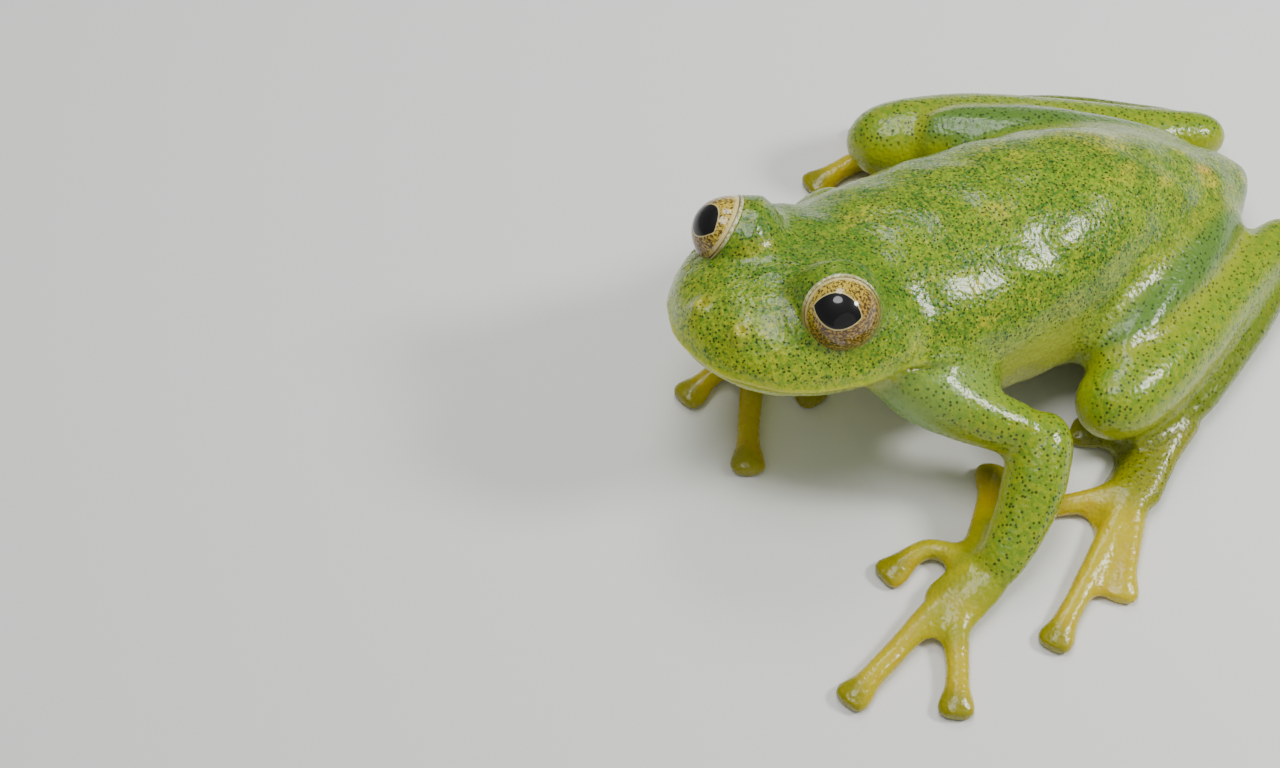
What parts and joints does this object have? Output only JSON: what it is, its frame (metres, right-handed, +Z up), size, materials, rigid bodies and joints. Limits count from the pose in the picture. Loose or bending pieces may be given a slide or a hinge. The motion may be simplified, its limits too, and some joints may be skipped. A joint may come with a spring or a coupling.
{
  "type": "glass frog",
  "caption": "Small green glass frog with large gold eyes, sitting with its forebody raised, hind legs folded and broad-tipped digits spread.",
  "frame": {"origin": "on the ground, under the middle of the frog's bounding box", "axes": "+Z up from the ground the frog rests on, -Y the way the frog looks, +X the frog's own left side"},
  "size_m": [0.0262, 0.028, 0.011],
  "materials": {
    "back_skin": "moist, fine-grained skin, green with dark dots and yellow spots",
    "limb_skin": "moist, thin yellow-green skin with dark dots",
    "digit_skin": "moist, half see-through yellow skin",
    "eye": "clear wet cornea over a gold iris with brown flecks and a black pupil"
  },
  "bodies": {
    "root": {"eye_left": "eye", "eye_right": "eye", "head": "back_skin", "torso": "back_skin", "shank_left": "limb_skin", "forearm_left": "limb_skin", "thigh_left": "limb_skin", "upper_arm_left": "limb_skin", "tarsus_left": "limb_skin", "hand_left": "digit_skin", "foot_left": "digit_skin", "shank_right": "limb_skin", "forearm_right": "limb_skin", "thigh_right": "limb_skin", "upper_arm_right": "limb_skin", "tarsus_right": "limb_skin", "hand_right": "digit_skin", "foot_right": "digit_skin"}
  },
  "joints": []
}
